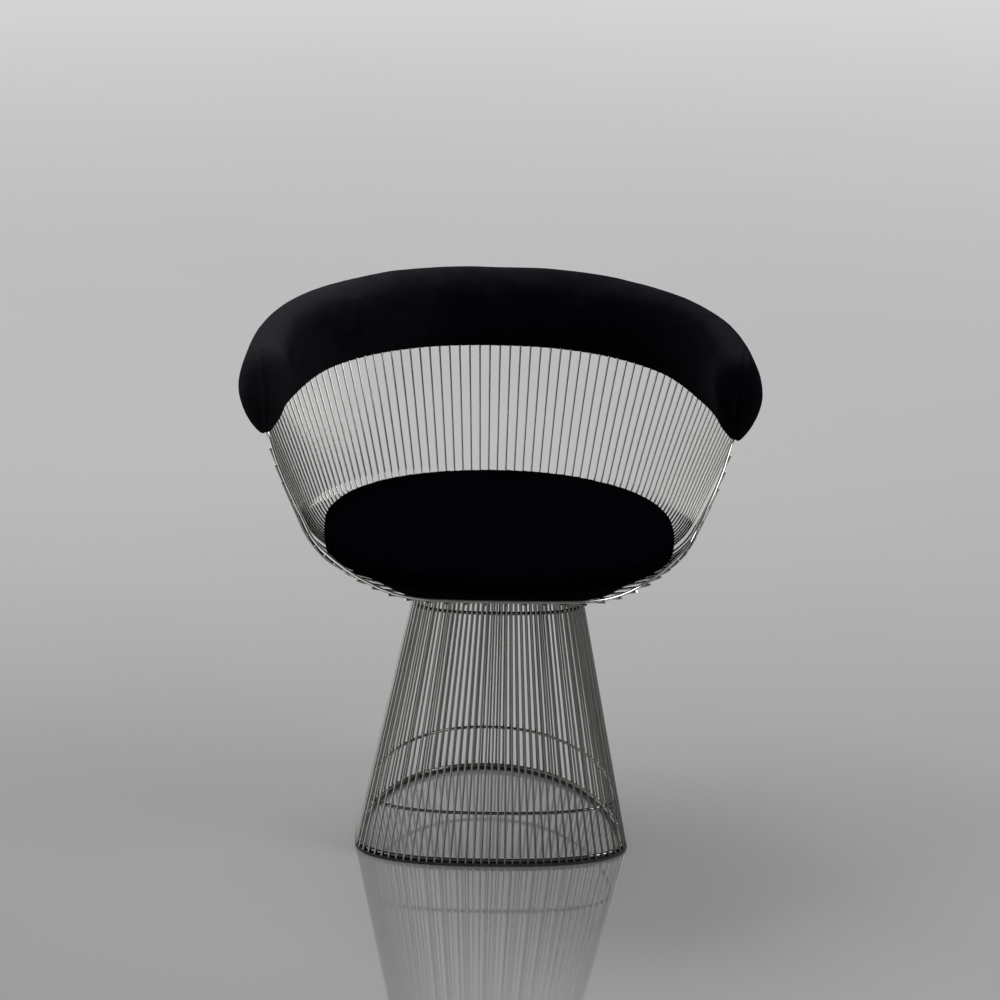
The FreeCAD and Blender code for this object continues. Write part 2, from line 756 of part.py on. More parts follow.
def build_cushion():
    levels = [(cush_z0, 30.0), (414.0, 8.0), (426.0, 2.0), (cush_wide_z, 0.0), (455.0, 0.0), (464.0, 3.0), (cush_z1, 11.0)]
    outer = Part.makeLoft([cush_wire(z, i) for z, i in levels], True, True)
    t = cover_t
    inner_levels = [(cush_z0 + t, 30.0), (414.0, 8.0), (426.0, 2.0), (cush_wide_z, 0.0), (455.0, 0.0), (464.0 - 0.4 * t, 3.0),
                    (cush_z1 - t, 11.0)]
    inner = Part.makeLoft([cush_wire(z, i, t * 1.5 if z < 430 else t) for z, i in inner_levels], True, True)
    shell = outer.cut(inner)

    def slab(z0, z1):
        return Part.makeBox(800, 800, z1 - z0, V(-400, -400, z0))
    save("seat_bottom_cloth", shell.common(slab(380.0, band_z0)).Solids[0])
    save("seat_side_band", shell.common(slab(band_z0, band_z1)).Solids[0])
    save("seat_top_panel", shell.common(slab(band_z1, 500.0)).Solids[0])
    zb = cush_z0 + t
    board = inner.common(slab(zb - 1.0, zb + board_t)).Solids[0]
    save("seat_foam", inner.common(slab(zb + board_t, 500.0)).Solids[0])
    save("seat_board", board)
    # grip pads on the underside, over the support ring
    pads = []
    for d in (35.0, 145.0, 215.0, 325.0):
        a = math.radians(d)
        p = profile(a)
        r = along(p, length_at(p, seat_ring_z - 3.5))[0] - 4.0
        b = Part.makeBox(pad_size[0], pad_size[1], 2.0, V(-pad_size[0] / 2, -pad_size[1] / 2, 0))
        b = b.makeFillet(5.0, [e for e in b.Edges if abs(e.Vertexes[0].Z - e.Vertexes[1].Z) > 1.0])
        b.rotate(V(0, 0, 0), V(0, 0, 1), -d)
        b.translate(place(a, r, cush_z0 - 2.0 - 0.02))
        pads.append(b)
    save("cushion_grip_pads", group(pads))


def main():
    os.makedirs("parts", exist_ok=True)
    build_pedestal()
    build_basket()
    build_pad()
    build_cushion()


main()
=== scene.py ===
import math

import bpy
import numpy as np
from mathutils import Matrix, Vector, noise
from mathutils.bvhtree import BVHTree


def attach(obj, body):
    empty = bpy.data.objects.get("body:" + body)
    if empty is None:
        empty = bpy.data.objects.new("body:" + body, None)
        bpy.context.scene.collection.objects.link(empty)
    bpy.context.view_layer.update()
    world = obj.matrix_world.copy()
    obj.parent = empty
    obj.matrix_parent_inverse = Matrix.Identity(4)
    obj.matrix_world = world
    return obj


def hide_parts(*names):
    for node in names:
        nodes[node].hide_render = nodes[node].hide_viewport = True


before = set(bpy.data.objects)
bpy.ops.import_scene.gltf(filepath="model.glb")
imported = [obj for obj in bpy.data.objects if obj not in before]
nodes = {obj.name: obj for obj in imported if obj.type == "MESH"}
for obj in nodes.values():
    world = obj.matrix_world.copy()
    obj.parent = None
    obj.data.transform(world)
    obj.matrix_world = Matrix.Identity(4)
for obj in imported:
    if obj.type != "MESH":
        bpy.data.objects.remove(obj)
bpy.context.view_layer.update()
scene = bpy.context.scene

MM = 0.001
Y_SHIFT = -17.57            # the part's own shift of its outline over the origin, mm
BOWL_Y = -10.0              # axis of the bowl rods before that shift

METAL = ["base_ring", "mid_ring", "waist_ring", "basket_ring", "seat_support_ring", "top_rail", "front_edge_rod",
         "pedestal_wires_front", "pedestal_wires_left", "pedestal_wires_right", "pedestal_wires_rear",
         "basket_wires_back", "basket_wires_left", "basket_wires_right", "basket_wires_front"]
PAD_NODES = ["pad_foam_arm_left", "pad_foam_back_left", "pad_foam_back_right", "pad_foam_arm_right",
             "pad_cover", "pad_end_left", "pad_end_right"]
SEAT_NODES = ["seat_board", "seat_foam", "seat_top_panel", "seat_side_band", "seat_bottom_cloth"]


# ------------------------------------------------------------------ materials
def new_material(name):
    m = bpy.data.materials.new(name)
    m.use_nodes = True
    nt = m.node_tree
    b = next(n for n in nt.nodes if n.type == "BSDF_PRINCIPLED")
    tc = nt.nodes.new("ShaderNodeTexCoord")
    return m, nt, b, tc.outputs["Object"]


def noise_node(nt, vec, scale, detail=2.0, rough=0.5, distort=0.0):
    n = nt.nodes.new("ShaderNodeTexNoise")
    n.inputs["Scale"].default_value = scale
    n.inputs["Detail"].default_value = detail
    n.inputs["Roughness"].default_value = rough
    n.inputs["Distortion"].default_value = distort
    nt.links.new(vec, n.inputs["Vector"])
    return n.outputs["Fac"]


def ramp(nt, fac, stops):
    r = nt.nodes.new("ShaderNodeValToRGB")
    el = r.color_ramp.elements
    while len(el) < len(stops):
        el.new(0.5)
    for e, (p, c) in zip(el, stops):
        e.position = p
        e.color = (*c, 1.0) if len(c) == 3 else c
    nt.links.new(fac, r.inputs["Fac"])
    return r.outputs["Color"]


def remap(nt, fac, a, b, lo=0.3, hi=0.7):
    r = nt.nodes.new("ShaderNodeMapRange")
    r.inputs["From Min"].default_value = lo
    r.inputs["From Max"].default_value = hi
    r.inputs["To Min"].default_value = a
    r.inputs["To Max"].default_value = b
    nt.links.new(fac, r.inputs["Value"])
    return r.outputs["Result"]


def math_node(nt, op, a, b):
    m = nt.nodes.new("ShaderNodeMath")
    m.operation = op
    for i, v in enumerate((a, b)):
        if isinstance(v, (int, float)):
            m.inputs[i].default_value = v
        else:
            nt.links.new(v, m.inputs[i])
    return m.outputs["Value"]


def bump(nt, height, strength, distance, under=None):
    b = nt.nodes.new("ShaderNodeBump")
    b.inputs["Strength"].default_value = strength
    b.inputs["Distance"].default_value = distance
    nt.links.new(height, b.inputs["Height"])
    if under is not None:
        nt.links.new(under, b.inputs["Normal"])
    return b.outputs["Normal"]


def nickel(name, k):
    """Polished nickel plate: slightly warm, with faint cloudiness and fine drawing marks."""
    m, nt, b, vec = new_material(name)
    big = noise_node(nt, vec, 11.0, 3.0, 0.55)
    fine = noise_node(nt, vec, 420.0, 3.0, 0.6)
    stops = [(0.25, (0.56, 0.548, 0.515)), (0.55, (0.62, 0.61, 0.58)), (0.8, (0.67, 0.66, 0.635))]
    # k scales the base colour; the cage and ring copies use a lower k as painted shade
    nt.links.new(ramp(nt, big, [(q, tuple(v * k for v in c)) for q, c in stops]), b.inputs["Base Color"])
    b.inputs["Metallic"].default_value = 1.0
    nt.links.new(math_node(nt, "ADD", remap(nt, fine, 0.035, 0.09), remap(nt, big, 0.0, 0.03)), b.inputs["Roughness"])
    nt.links.new(bump(nt, fine, 0.05, 0.0004), b.inputs["Normal"])
    return m


def velvet(name, sheen, painted_shade_scale, painted_side_and_top_light):
    """Black velvet: matt blue-black pile with a cool sheen, patches where the pile lies the other way.
    The fourth argument adds painted light and shade: lighter towards the left arm, darker towards the right arm,
    lighter where the surface faces up.
    The third argument scales the colour; below 1 it is painted shade."""
    m, nt, b, vec = new_material(name)
    nap = noise_node(nt, vec, 7.5, 3.0, 0.55, 0.6)
    mottle = noise_node(nt, vec, 55.0, 4.0, 0.6)
    pile = noise_node(nt, vec, 1500.0, 2.0, 0.6)
    tone = math_node(nt, "ADD", math_node(nt, "MULTIPLY", nap, 0.62), math_node(nt, "MULTIPLY", mottle, 0.38))
    tone = math_node(nt, "ADD", tone, math_node(nt, "MULTIPLY", math_node(nt, "SUBTRACT", pile, 0.5), 0.35))
    tone = remap(nt, tone, 0.39, 0.61, 0.3, 0.7)
    if painted_side_and_top_light:
        sep = nt.nodes.new("ShaderNodeSeparateXYZ")
        nt.links.new(vec, sep.inputs["Vector"])
        # painted light and shade: lighter towards the left arm, darker towards the right arm
        tone = math_node(nt, "ADD", tone, remap(nt, sep.outputs["X"], 0.25, 0.0, -0.33, -0.03))
        tone = math_node(nt, "ADD", tone, remap(nt, sep.outputs["X"], 0.0, -0.10, 0.06, 0.30))
        # painted light: surfaces that face up are lighter
        geo = nt.nodes.new("ShaderNodeNewGeometry")
        up = nt.nodes.new("ShaderNodeSeparateXYZ")
        nt.links.new(geo.outputs["Normal"], up.inputs["Vector"])
        tone = math_node(nt, "ADD", tone, remap(nt, up.outputs["Z"], 0.0, 0.24, 0.25, 0.95))
    # the last argument scales these colours down; below 1 it is painted shade
    stops = [(0.30, (0.0004, 0.0006, 0.0017)), (0.54, (0.0009, 0.0012, 0.0031)), (0.72, (0.0074, 0.0073, 0.0098)), (0.92, (0.0165, 0.0160, 0.0192))]
    nt.links.new(ramp(nt, tone, [(q, tuple(v * painted_shade_scale for v in c)) for q, c in stops]), b.inputs["Base Color"])
    nt.links.new(remap(nt, pile, 0.82, 1.0), b.inputs["Roughness"])
    b.inputs["Specular IOR Level"].default_value = 0.0
    b.inputs["Sheen Weight"].default_value = sheen
    b.inputs["Sheen Roughness"].default_value = 0.75
    b.inputs["Sheen Tint"].default_value = (0.90, 0.87, 1.0, 1.0)
    n1 = bump(nt, mottle, 0.25, 0.0012)
    nt.links.new(bump(nt, pile, 0.55, 0.0005, n1), b.inputs["Normal"])
    return m


def base_cloth():
    """Black woven cloth under the cushion."""
    m, nt, b, vec = new_material("black_base_cloth")
    waves = []
    for axis in ("X", "Y"):
        w = nt.nodes.new("ShaderNodeTexWave")
        w.bands_direction = axis
        w.inputs["Scale"].default_value = 260.0
        w.inputs["Distortion"].default_value = 1.2
        w.inputs["Detail"].default_value = 1.0
        nt.links.new(vec, w.inputs["Vector"])
        waves.append(w.outputs["Fac"])
    weave = math_node(nt, "MULTIPLY", waves[0], waves[1])
    dirt = noise_node(nt, vec, 30.0, 4.0, 0.6)
    tone = math_node(nt, "ADD", math_node(nt, "MULTIPLY", weave, 0.6), math_node(nt, "MULTIPLY", dirt, 0.4))
    nt.links.new(ramp(nt, tone, [(0.1, (0.0010, 0.0010, 0.0012)), (0.9, (0.0045, 0.0045, 0.0052))]), b.inputs["Base Color"])
    nt.links.new(remap(nt, weave, 0.95, 0.75, 0.0, 1.0), b.inputs["Roughness"])
    b.inputs["Specular IOR Level"].default_value = 0.02
    nt.links.new(bump(nt, weave, 0.5, 0.0004), b.inputs["Normal"])
    return m


def glide_plastic():
    """Black plastic of the floor glide, scuffed a little."""
    m, nt, b, vec = new_material("black_glide_plastic")
    scuff = noise_node(nt, vec, 90.0, 5.0, 0.65, 0.8)
    grain = noise_node(nt, vec, 1800.0, 2.0, 0.5)
    nt.links.new(ramp(nt, scuff, [(0.35, (0.024, 0.024, 0.025)), (0.7, (0.060, 0.060, 0.061))]), b.inputs["Base Color"])
    nt.links.new(remap(nt, scuff, 0.42, 0.68), b.inputs["Roughness"])
    nt.links.new(bump(nt, grain, 0.3, 0.0002), b.inputs["Normal"])
    return m


def grip_rubber():
    m, nt, b, vec = new_material("black_grip_rubber")
    grain = noise_node(nt, vec, 700.0, 3.0, 0.6)
    dust = noise_node(nt, vec, 120.0, 4.0, 0.6)
    nt.links.new(ramp(nt, dust, [(0.35, (0.012, 0.012, 0.012)), (0.75, (0.034, 0.033, 0.032))]), b.inputs["Base Color"])
    nt.links.new(remap(nt, dust, 0.7, 0.92), b.inputs["Roughness"])
    nt.links.new(bump(nt, grain, 0.5, 0.0003), b.inputs["Normal"])
    return m


def floor_material():
    m, nt, b, vec = new_material("pale_floor")
    cloud = noise_node(nt, vec, 0.9, 4.0, 0.5)
    nt.links.new(ramp(nt, cloud, [(0.3, (0.265, 0.267, 0.266)), (0.7, (0.29, 0.292, 0.291))]), b.inputs["Base Color"])
    nt.links.new(remap(nt, noise_node(nt, vec, 3.0, 3.0), 0.045, 0.07), b.inputs["Roughness"])
    b.inputs["IOR"].default_value = 1.9
    return m


# the pedestal wires' nickel (0.66) and the rings' nickel (0.34) are darker copies of the polished nickel: painted shade
NICKEL, NICKEL_CAGE_SHADED, NICKEL_RINGS_SHADED = nickel("polished_nickel", 0.92), nickel("cage_nickel_painted_shade", 0.66), nickel("ring_nickel_painted_shade", 0.34)
CLOTH, GLIDE, RUBBER = base_cloth(), glide_plastic(), grip_rubber()
# the seat's velvet is a darker copy of the roll's velvet, base colour at 0.45 and less sheen: painted shade
VELVET, VELVET_SEAT_SHADED = velvet("black_velvet", 0.013, 1.0, True), velvet("black_velvet_seat_painted_shade", 0.002, 0.45, False)


def dress(node, material):
    o = nodes[node]
    o.data.materials.clear()
    o.data.materials.append(material)
    for p in o.data.polygons:
        p.material_index = 0


for n in METAL:
    dress(n, NICKEL_RINGS_SHADED if n.endswith("_ring") else NICKEL_CAGE_SHADED if n.startswith("pedestal") else NICKEL)
dress("floor_glide_ring", GLIDE)
dress("cushion_grip_pads", RUBBER)


# --------------------------------------------------------------- mesh helpers
def add_piece(name, verts_mm, faces, materials, face_mat=None):
    me = bpy.data.meshes.new(name)
    v = np.asarray(verts_mm, float).copy()
    v[:, 1] += Y_SHIFT
    me.from_pydata((v * MM).tolist(), [], [tuple(int(i) for i in f) for f in faces])
    for m in materials:
        me.materials.append(m)
    me.polygons.foreach_set("use_smooth", np.ones(len(me.polygons), bool))
    if face_mat is not None:
        me.polygons.foreach_set("material_index", np.asarray(face_mat, np.int32))
    me.validate()
    me.update()
    o = bpy.data.objects.new(name, me)
    scene.collection.objects.link(o)
    return o


def grid_normals(G, closed_u, closed_v):
    """Unit normals of a grid of points G[u, v], by cross product of its two directions."""
    def diff(A, axis, closed):
        if closed:
            return np.roll(A, -1, axis) - np.roll(A, 1, axis)
        return np.gradient(A, axis=axis)
    n = np.cross(diff(G, 0, closed_u), diff(G, 1, closed_v))
    L = np.linalg.norm(n, axis=2, keepdims=True)
    return n / np.maximum(L, 1e-9)


def cloth_shape(name, verts_mm, faces, pin, pressure, frames=20, tension=15.0, bending=0.5):
    """Positions after a short run of pressurised cloth, in the same order, mm."""
    me = bpy.data.meshes.new(name)
    me.from_pydata((np.asarray(verts_mm) * MM).tolist(), [], [tuple(int(i) for i in f) for f in faces])
    me.update()
    o = bpy.data.objects.new(name, me)
    scene.collection.objects.link(o)
    g = o.vertex_groups.new(name="pin")
    for i in np.nonzero(pin > 0.001)[0]:
        g.add([int(i)], float(pin[i]), "REPLACE")
    c = o.modifiers.new("cloth", "CLOTH")
    s = c.settings
    s.quality = 6
    s.mass = 0.3
    s.tension_stiffness = s.compression_stiffness = tension
    s.shear_stiffness = 5.0
    s.bending_stiffness = bending
    s.use_pressure = True
    s.uniform_pressure_force = pressure
    s.effector_weights.gravity = 0.0
    s.vertex_group_mass = "pin"
    c.collision_settings.use_collision = False
    c.point_cache.frame_start = 1
    c.point_cache.frame_end = frames
    for f in range(1, frames + 1):
        scene.frame_set(f)
    ev = o.evaluated_get(bpy.context.evaluated_depsgraph_get())
    co = np.empty(len(ev.data.vertices) * 3)
    ev.data.vertices.foreach_get("co", co)
    bpy.data.objects.remove(o)
    bpy.data.meshes.remove(me)
    scene.frame_set(1)
    return co.reshape(-1, 3) / MM


def upsample(D, closed_u, closed_v):
    """A coarse grid of values brought to the grid with a point between each two neighbours."""
    def twice(A, closed):
        nxt = np.roll(A, -1, 0)
        mid = (A + nxt) / 2
        out = np.empty((2 * len(A),) + A.shape[1:])
        out[0::2], out[1::2] = A, mid
        return out if closed else out[:-1]
    return np.swapaxes(twice(np.swapaxes(twice(D, closed_u), 0, 1), closed_v), 0, 1)


def smooth_step(x):
    x = np.clip(x, 0.0, 1.0)
    return x * x * (3 - 2 * x)


def noise_field(P, scale, seed):
    """Smooth noise from -1 to 1 at points P (mm), with features about 1/scale mm across."""
    off = Vector((seed * 17.3, seed * 5.1, seed * 9.7))
    flat = P.reshape(-1, 3)
    return np.array([noise.noise(Vector(p) * scale + off) for p in flat]).reshape(P.shape[:-1])


# ----------------------------------------------------------- wall rod geometry
def super_d(ang, hw, f, b, y0, nf, nb):
    s, c = np.sin(ang), np.cos(ang)
    n, q = np.where(c >= 0, nb, nf), np.where(c >= 0, b, f)
    r = ((np.abs(s) / hw) ** n + (np.abs(c) / q) ** n) ** (-1.0 / n)
    return r * s, y0 + r * c


_ang = np.linspace(0, np.pi, 4001)


def plan_radius(*plan):
    x, y = super_d(_ang, *plan)
    az, r = np.arctan2(x, y - BOWL_Y), np.hypot(x, y - BOWL_Y)
    return lambda a: np.interp(np.abs(a), az, r)


seat_r = plan_radius(276.0, 280.0, 236.0, -12.0, 2.35, 2.05)
rail_r = plan_radius(338.5, 330.0, 282.0, -11.0, 2.2, 2.2)
TIP = math.radians(88.6)


def wall_rod(a, z):
    """Centre of the wall rod at azimuth a and height z, and the height of the rod's top."""
    rs = seat_r(a)
    aa = np.minimum(np.abs(a), TIP)
    rr = rail_r(aa)
    zr = 671.0 - math.tan(math.radians(10.4)) * (271.0 - (BOWL_Y + rr * np.cos(aa)))
    slope = (rr - seat_r(aa)) / (zr - 470.0)
    r = rs + slope * (z - 470.0)
    return np.stack([r * np.sin(a), BOWL_Y + r * np.cos(a), z + 0 * r], -1), zr


# --------------------------------------------------------- back and arm roll
ROLL = dict(A=323.196, B=275.594, y=4.215, n=2.25, z=687.833, tau=11.479, a=36.897, b=56.606, l0=13.808, l1=-4.762,
            l2=1.657, phi=93.428, end=52.906, tap=0.1679, cx=4.094)
LIP = 2.7


def roll_path():
    g = ROLL
    PH = np.linspace(-1, 1, 8001)
    ph = PH * math.radians(g["phi"])
    s, co = np.sin(ph), np.cos(ph)
    X = g["A"] * np.sign(s) * np.abs(s) ** (2 / g["n"])
    Y = g["y"] + g["B"] * np.sign(co) * np.abs(co) ** (2 / g["n"])
    Z = g["z"] - math.tan(math.radians(g["tau"])) * (g["y"] + g["B"] - Y)
    P = np.stack([X, Y, Z], -1)
    L = np.concatenate([[0], np.cumsum(np.linalg.norm(np.diff(P, axis=0), axis=1))])
    even = np.linspace(0, L[-1], 4001)
    P = np.stack([np.interp(even, L, P[:, i]) for i in range(3)], -1)
    u = np.abs(np.interp(even, L, PH))
    T = np.gradient(P, axis=0)
    for _ in range(60):
        T[1:-1] = (T[:-2] + 2 * T[1:-1] + T[2:]) / 4
    T /= np.linalg.norm(T, axis=1)[:, None]
    N = np.cross(T, [0, 0, 1.0])
    N /= np.linalg.norm(N, axis=1)[:, None]
    N *= np.where((N * np.stack([P[:, 0], P[:, 1] - g["y"], 0 * P[:, 0]], -1)).sum(1) < 0, -1.0, 1.0)[:, None]
    B = np.cross(T, N)
    B *= np.sign(B[:, 2])[:, None]
    near_end = smooth_step(1 - np.minimum(even, even[-1] - even) / 110.0)
    le = np.radians(g["l0"] + (g["l1"] - g["l0"]) * u ** 1.5 + g["l2"] * near_end)[:, None]
    return even, P, T, N * np.cos(le) - B * np.sin(le), B * np.cos(le) + N * np.sin(le)


def roll_stations(n_mid, n_end):
    """Distances along the roll: close together where the ends round off."""
    total = roll_path()[0][-1]
    tau = np.linspace(0.10, np.pi / 2, n_end + 1)
    de = ROLL["end"] * (1 - np.cos(tau) ** (2 / 2.2))
    mid = np.linspace(ROLL["end"], total - ROLL["end"], n_mid + 1)
    return np.concatenate([de[:-1], mid, (total - de[:-1])[::-1]]), total


def roll_grid(sta, total, k_out, k_slot, shrink):
    """Points [station, ring] of the roll's surface; the ring runs from the outer lip over the top to the
    inner lip and back through the slot that holds the rods and the rail."""
    g = ROLL
    even, P0, T0, X0, Y0 = roll_path()
    at = lambda A: np.stack([np.interp(sta, even, A[:, i]) for i in range(3)], -1)
    P, T, X, Y = at(P0), at(T0), at(X0), at(Y0)
    X /= np.linalg.norm(X, axis=1)[:, None]
    Y /= np.linalg.norm(Y, axis=1)[:, None]
    de = np.minimum(sta, total - sta)
    sc = np.sqrt(np.clip(1 - np.clip(1 - de / g["end"], 0, 1) ** 2.2, 0, 1))
    cz, cx = -(1 - sc) * g["b"] * 0.75 - 4.5 * (1 - sc) ** 3, -(1 - sc) * g["cx"]
    # rod line in each section plane
    def rod(dz):
        a = np.arctan2(P[:, 0], P[:, 1] - BOWL_Y)
        z = P[:, 2] + dz
        for _ in range(8):
            q, zr = wall_rod(a, z)
            q2, _ = wall_rod(a + 1e-4, z)
            a = a - ((q - P) * T).sum(1) / (((q2 - q) * T).sum(1) / 1e-4)
        q, zr = wall_rod(a, z)
        return ((q - P) * X).sum(1), ((q - P) * Y).sum(1), zr
    x1, y1, zr = rod(-20.0)
    x2, y2, _ = rod(-60.0)
    th = np.linspace(-np.pi / 2 - 1.15, -np.pi / 2 + 1.15, 241)
    out = np.zeros((len(sta), k_out + k_slot, 3))
    info = np.zeros((len(sta), k_out + k_slot, 2))
    for i in range(len(sta)):
        a_, b_ = (g["a"] - shrink) * sc[i], (g["b"] - shrink) * sc[i]
        def outline(t):
            c, s = np.cos(t), np.sin(t)
            vv = np.sign(s) * np.abs(s) ** (2 / 2.2)
            uu = np.sign(c) * np.abs(c) ** (2 / 2.2)
            return a_ * uu * (1 - g["tap"] * (1 - vv) / 2) + cx[i], b_ * vv + cz[i]
        d = np.array([x1[i] - x2[i], y1[i] - y2[i]])
        d /= np.linalg.norm(d)
        nn = np.array([d[1], -d[0]])
        ox, oy = outline(th)
        off = (ox - x1[i]) * nn[0] + (oy - y1[i]) * nn[1]
        open_ = float(smooth_step((P[i, 1] + 12.0) / 8.0))
        wide = float(smooth_step((14.0 - P[i, 1]) / 16.0))     # the edge rod stands inside the wall rods
        lo = (0.25 + (LIP - 0.25) * open_) * min(1.0, sc[i] * 1.6)
        li = (0.25 + (LIP + 4.6 * wide - 0.25) * open_) * min(1.0, sc[i] * 1.6)
        centre = np.clip(0.0, off[0] + 1e-3, off[-1] - 1e-3)
        # where the slot closes, the seam swings to the middle of the section
        mid_off = np.interp(-np.pi / 2, th, off)
        centre = open_ * centre + (1 - open_) * mid_off
        t0 = np.interp(centre + lo, off, th)
        t1 = np.interp(centre - li, off, th) + 2 * np.pi
        tc = np.interp(centre, off, th)
        dense = np.linspace(t0, t1, 400)
        dx, dy = outline(dense)
        acc = np.concatenate([[0], np.cumsum(np.hypot(np.diff(dx), np.diff(dy)))])
        tt = np.interp(np.linspace(0, acc[-1], k_out), acc, dense)
        qx, qy = outline(tt)
        c0 = np.array(outline(np.array([tc]))).ravel()
        top = max(20.0, (zr[i] + 2.0 - (P[i, 2] + (c0 * [X[i, 2], Y[i, 2]]).sum())) / max(0.5, (d * [X[i, 2], Y[i, 2]]).sum()) + 8.0)
        inner = [(-li, 0.10), (-li, 0.24), (-max(li, 6.0), 0.40), (-9.8, 0.54), (-9.8, 0.78), (-8.4, 0.93)]
        cap = [(-4.0, 1.0), (0.5, 1.0)]
        outer = [(3.7, 0.93), (3.8, 0.72), (3.0, 0.46), (lo, 0.24), (lo, 0.10)]
        depth = min(top, 1.5 * b_) * open_ + 0.5 * (1 - open_) * sc[i]
        poly = []
        for o, h in inner + cap + outer:
            o = o * open_ + math.copysign(0.25, o) * (1 - open_) * min(1.0, sc[i] * 1.6)
            poly.append(c0 + nn * o + d * (h * depth))
        poly = np.array([[qx[-1], qy[-1]]] + poly + [[qx[0], qy[0]]])
        acc = np.linspace(0, 1, len(poly))
        w = np.linspace(0, 1, k_slot + 2)[1:-1]
        sx, sy = np.interp(w, acc, poly[:, 0]), np.interp(w, acc, poly[:, 1])
        ax, ay = np.concatenate([qx, sx]), np.concatenate([qy, sy])
        out[i] = P[i] + ax[:, None] * X[i] + ay[:, None] * Y[i]
        info[i, :, 0], info[i, :, 1] = ax, ay
    return out, info, de, sc, P


def grid_faces(nu, nv, closed_v=True, start=0):
    f = []
    for i in range(nu - 1):
        for j in range(nv if closed_v else nv - 1):
            k = (j + 1) % nv
            f.append((start + i * nv + j, start + (i + 1) * nv + j, start + (i + 1) * nv + k, start + i * nv + k))
    return f


def build_roll():
    fine_out, fine_slot = 116, 26
    sta, total = roll_stations(170 * 2, 16 * 2)
    sta = sta if len(sta) % 2 else sta[:-1]
    G, info, de, sc, P = roll_grid(sta, total, fine_out, fine_slot, 0.0)
    ns, nv = G.shape[:2]
    n = grid_normals(G, False, True)
    ctr = G[:, :fine_out].mean(1, keepdims=True)
    if ((G - ctr)[:, :fine_out] * n[:, :fine_out]).sum() < 0:
        n = -n
    # pressurised cloth over the foam, held at the slot's lips
    S, _, _, scc, _ = roll_grid(sta[::2], total, fine_out // 2, fine_slot // 2, 3.0)
    cs, cv = S.shape[:2]
    faces = grid_faces(cs, cv)
    tips = [S[0].mean(0), S[-1].mean(0)]
    verts = np.concatenate([S.reshape(-1, 3), tips])
    e0, e1 = cs * cv, cs * cv + 1
    faces += [(j, (j + 1) % cv, e0) for j in range(cv)]
    faces += [((cs - 1) * cv + (j + 1) % cv, (cs - 1) * cv + j, e1) for j in range(cv)]
    ko = fine_out // 2
    pin = np.zeros((cs, cv))
    pin[:, ko:] = 1.0
    pin[:, :2] = 1.0
    pin[:, ko - 2:ko] = 1.0
    pin[0], pin[-1] = 1.0, 1.0
    sim = cloth_shape("roll_cloth", verts, faces, np.concatenate([pin.ravel(), [1, 1]]), 4.0)
    m = sim[:cs * cv].reshape(cs, cv, 3) - S
    L = np.linalg.norm(m, axis=2, keepdims=True)
    m *= np.minimum(1.0, 9.0 / np.maximum(L, 1e-9))
    m = upsample(m, False, True)[:ns]
    swell = (m * n).sum(2)
    ref = np.median(swell[ns // 6:-ns // 6, fine_out // 4:3 * fine_out // 4])
    print("roll cloth: median swell %.2f mm, max %.2f" % (ref, swell.max()))
    w = smooth_step(np.minimum(np.arange(nv), fine_out - 1 - np.arange(nv)).clip(0) / 12.0)[None, :] * smooth_step((sc - 0.2) / 0.6)[:, None]
    disp = (swell - ref).clip(-4.0, 2.5) * w
    for _ in range(70):       # the wadding under the cover evens it out
        disp[1:-1] = (disp[:-2] + 2 * disp[1:-1] + disp[2:]) / 4
        disp[:, 1:fine_out - 1] = (disp[:, :fine_out - 2] + 2 * disp[:, 1:fine_out - 1] + disp[:, 2:fine_out]) / 4
    disp = disp.clip(-1.2, 1.2)
    G = G + n * disp[..., None]
    # the surface is never quite even
    lumps = 0.8 * noise_field(G, 1 / 75.0, 1) + 0.35 * noise_field(G, 1 / 26.0, 2)
    outer = (np.arange(nv) < fine_out)[None, :]
    edge = smooth_step(np.minimum(np.arange(nv), fine_out - 1 - np.arange(nv)).clip(0) / 8.0)[None, :]
    d = lumps * edge * outer
    # sewn seam down the middle of each arm end
    knots = np.array([(0, -4.9), (3.0, -4.6), (6.4, -4.0), (12, -0.4), (19, 2.9), (38, 7.8), (61, 12.0), (88, 19.0)])
    xs = np.interp(de, knots[:, 0], knots[:, 1])
    x, y = info[..., 0], info[..., 1]
    upper = y > (-(1 - sc) * ROLL["b"] * 0.75)[:, None]
    dist = np.where(upper, x - xs[:, None], x + 5.4)
    fade = smooth_step((78.0 - de) / 22.0)[:, None]
    low = smooth_step((13.0 - de) / 8.0)[:, None]
    fade = np.where(upper, fade, low) * outer
    run = np.hypot(de[:, None], y)
    pucker = np.sin(run * 2 * np.pi / 10.5 + 2.2 * noise_field(G, 1 / 22.0, 5)) * np.sign(dist)
    d = d - fade * (1.6 * np.exp(-(dist / 2.1) ** 2) - 0.6 * np.exp(-((np.abs(dist) - 6.0) / 3.6) ** 2))
    d = d + fade * 0.55 * pucker * np.exp(-(np.abs(dist) / 9.0)) * (1 - np.exp(-(dist / 2.0) ** 2))
    # small gathers along the lips of the slot
    j = np.arange(nv)
    near = np.where(j < fine_out, np.minimum(j, fine_out - 1 - j), 99)
    gather = np.sin(sta * 2 * np.pi / 13.1)[:, None] * np.exp(-(near / 4.5) ** 2)[None, :]
    d = d + 0.25 * gather * smooth_step((de - 30.0) / 20.0)[:, None] * outer
    G = G + n * d[..., None]
    # the cover is drawn forward and down round the edge rod where it goes in
    for side in (-1, 1):
        far = ((G - [side * 319.4, -9.5, 585.0]) / [17.0, 14.0, 9.5]) ** 2
        G = G + (6.2 * np.exp(-far.sum(2)) * outer)[..., None] * [0.0, -0.97, -0.24]
        # and the nose of each arm is stuffed fuller on its outside
        far = ((G - [side * 356.0, 8.0, 630.0]) / [38.0, 62.0, 33.0]) ** 2
        G = G + (4.6 * np.exp(-far.sum(2)) * outer)[..., None] * [side, 0.0, 0.0]
